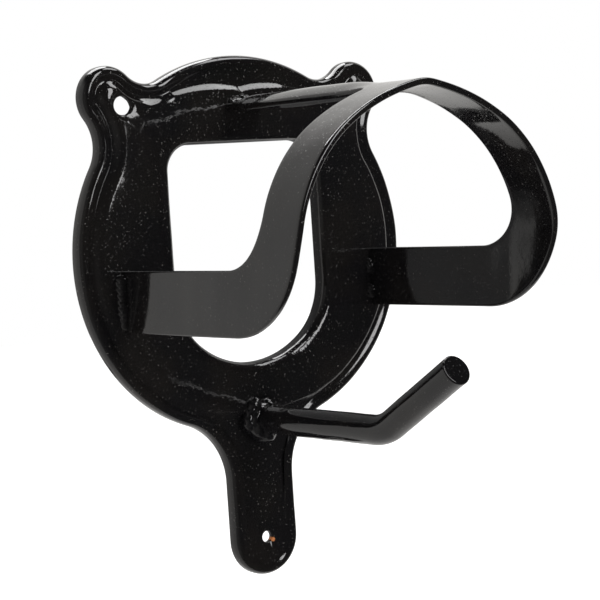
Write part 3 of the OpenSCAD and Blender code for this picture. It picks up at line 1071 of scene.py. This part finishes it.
@dataclass
class Studio:
    """Pale floor, white backdrop, soft lamps and the camera."""

    floor_z: float = -0.42
    floor_size: float = 9.0
    softboxes: list[Softbox] = field(default_factory=lambda: [
        Softbox("back_top", 165, 62, (0.70, 0.55), 9.0),
        Softbox("right_top", 75, 60, (0.50, 0.40), 6.0),
        Softbox("front_strip", 12, 33, (0.32, 0.95), 9.0),
    ])
    camera_place: tuple[float, float, float] = (-0.3999, -0.5560, 0.0251)
    heading: float = 37.4
    pitch: float = -3.62
    roll: float = -3.77
    lens: float = 112.55

    def build(self) -> None:
        """Make everything that isn't part of the bracket."""
        self.floor()
        self.flag()
        self.backdrop()
        for box in self.softboxes:
            box.place(Vector((0.0, -0.04, -0.01)))
        self.camera()

    def floor(self) -> None:
        """Lay a plain pale floor well below the bracket."""
        s = self.floor_size / 2
        mesh = bpy.data.meshes.new("floor")
        corners = [(-s, -s), (s, -s), (s, s), (-s, s)]
        mesh.from_pydata([(x, y, self.floor_z) for x, y in corners], [], [(0, 1, 2, 3)])
        material = bpy.data.materials.new("pale_floor")
        material.use_nodes = True
        shader = material.node_tree.nodes["Principled BSDF"]
        shader.inputs["Base Color"].default_value = (0.86, 0.86, 0.85, 1)
        shader.inputs["Roughness"].default_value = 0.9
        shader.inputs["Emission Color"].default_value = (1, 1, 1, 1)
        shader.inputs["Emission Strength"].default_value = 1.0
        mesh.materials.append(material)
        floor = bpy.data.objects.new("floor", mesh)
        floor.visible_glossy = False
        bpy.context.scene.collection.objects.link(floor)

    def flag(self) -> None:
        """Hang a dark card behind the window, out of the camera's sight, to shade what shines through it."""
        mesh = bpy.data.meshes.new("flag")
        side, behind, low, high = 0.07, 0.05, -0.07, 0.06
        corners = [(-side, low), (side, low), (side, high), (-side, high)]
        mesh.from_pydata([(x, behind, z) for x, z in corners], [], [(0, 1, 2, 3)])
        material = bpy.data.materials.new("dark_card")
        material.use_nodes = True
        shader = material.node_tree.nodes["Principled BSDF"]
        shader.inputs["Base Color"].default_value = (0.05, 0.05, 0.05, 1)
        shader.inputs["Roughness"].default_value = 0.9
        # The card glows faintly: painted shade, a dim stand-in for the shadowed backdrop that reflections see
        # through the window.
        shader.inputs["Emission Color"].default_value = (1, 1, 1, 1)
        shader.inputs["Emission Strength"].default_value = 0.18
        mesh.materials.append(material)
        card = bpy.data.objects.new("flag", mesh)
        card.visible_camera = False
        card.visible_shadow = False
        bpy.context.scene.collection.objects.link(card)

    def backdrop(self) -> None:
        """Light the world: a white backdrop behind the bracket, dark towards its front and above."""
        world = bpy.data.worlds.new("studio")
        world.use_nodes = True
        bpy.context.scene.world = world
        nodes = Nodes(world.node_tree)
        way = nodes.add("ShaderNodeTexCoord").outputs["Generated"]
        split = nodes.add("ShaderNodeSeparateXYZ")
        nodes.link(way, split.inputs[0])
        behind = nodes.ramp(split.outputs["Y"], -0.10, 0.16, 0.0, 1.0)
        below = nodes.ramp(split.outputs["Z"], 0.55, 0.85, 1.0, 0.0)
        left = nodes.ramp(split.outputs["X"], -0.95, -0.45, 0.22, 0.03)
        bright = nodes.ramp(split.outputs["X"], -0.25, 0.25, 0.72, 1.0)
        wall = nodes.add("ShaderNodeMath", operation="MULTIPLY")
        nodes.link(behind, wall.inputs[0])
        nodes.link(below, wall.inputs[1])
        light = nodes.add("ShaderNodeMix", data_type="FLOAT")
        nodes.link(wall.outputs[0], light.inputs["Factor"])
        nodes.link(left, light.inputs["A"])
        nodes.link(bright, light.inputs["B"])
        room = nodes.add("ShaderNodeBackground")
        nodes.link(light.outputs["Result"], room.inputs["Strength"])
        room.inputs["Color"].default_value = (1.0, 0.985, 0.96, 1)
        plain = nodes.add("ShaderNodeBackground")
        plain.inputs["Color"].default_value = (1, 1, 1, 1)
        seen = nodes.add("ShaderNodeMixShader")
        nodes.link(nodes.add("ShaderNodeLightPath").outputs["Is Camera Ray"], seen.inputs["Fac"])
        nodes.link(room.outputs[0], seen.inputs[1])
        nodes.link(plain.outputs[0], seen.inputs[2])
        nodes.link(seen.outputs[0], nodes.add("ShaderNodeOutputWorld").inputs["Surface"])

    def camera(self) -> None:
        """Set the camera: its heading turns it from +Y towards +X, then pitch and roll."""
        data = bpy.data.cameras.new("camera")
        data.lens = self.lens
        data.sensor_width = 36.0
        data.clip_start, data.clip_end = 0.05, 50.0
        camera = bpy.data.objects.new("camera", data)
        camera.location = self.camera_place
        turn_to = Euler((math.radians(90 + self.pitch), 0, math.radians(-self.heading)), "XYZ").to_matrix()
        tilt = Euler((0, 0, math.radians(self.roll)), "XYZ").to_matrix()
        camera.rotation_euler = (turn_to @ tilt).to_euler()
        bpy.context.scene.collection.objects.link(camera)
        bpy.context.scene.camera = camera


# ---------------------------------------------------------------- assembly


RUST = Spot((2.3, -3.4, -105.3), 1.4, (0.40, 0.13, 0.03))


def dress(piece: bpy.types.Object, node: str) -> None:
    """Hand a finished piece to the frame.

    Args:
        piece: The piece.
        node: Frame node that it stands for.
    """
    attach(piece, "root")
    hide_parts(node)
    log.info("%s stands for %s with %d faces", piece.name, node, len(piece.data.polygons))


def main() -> None:
    """Load the frame, build every piece and the studio, and log each piece's face count."""
    logging.basicConfig(level=logging.INFO)
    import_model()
    bpy.context.scene.view_settings.view_transform = "Standard"
    Studio().build()
    cradle = Cradle(GlossCoat("cradle_coat", Peel.SMOOTH, wave_depth=0.00003))
    hook = Hook(GlossCoat("bar_coat", Peel.SMOOTH, wave_depth=0.00003, dust=0.2))
    plate = BackPlate(GlossCoat("plate_coat", Peel.DIPPED, spots=(RUST,), smooth_beyond=67.0))
    welds = Welds(GlossCoat("weld_coat", Peel.POOLED, dust=0.1), cradle, hook)
    dress(plate.build(), "back_plate")
    dress(cradle.build(), "cradle")
    dress(hook.build(), "hook_rod")
    dress(welds.hook_collar(), "hook_weld")
    dress(welds.arm(-1, "left_arm_bead", 51), "left_arm_welds")
    dress(welds.arm(1, "right_arm_bead", 71), "right_arm_welds")
    dress(welds.strip(), "spine_weld")


if __name__ == "__main__":
    main()
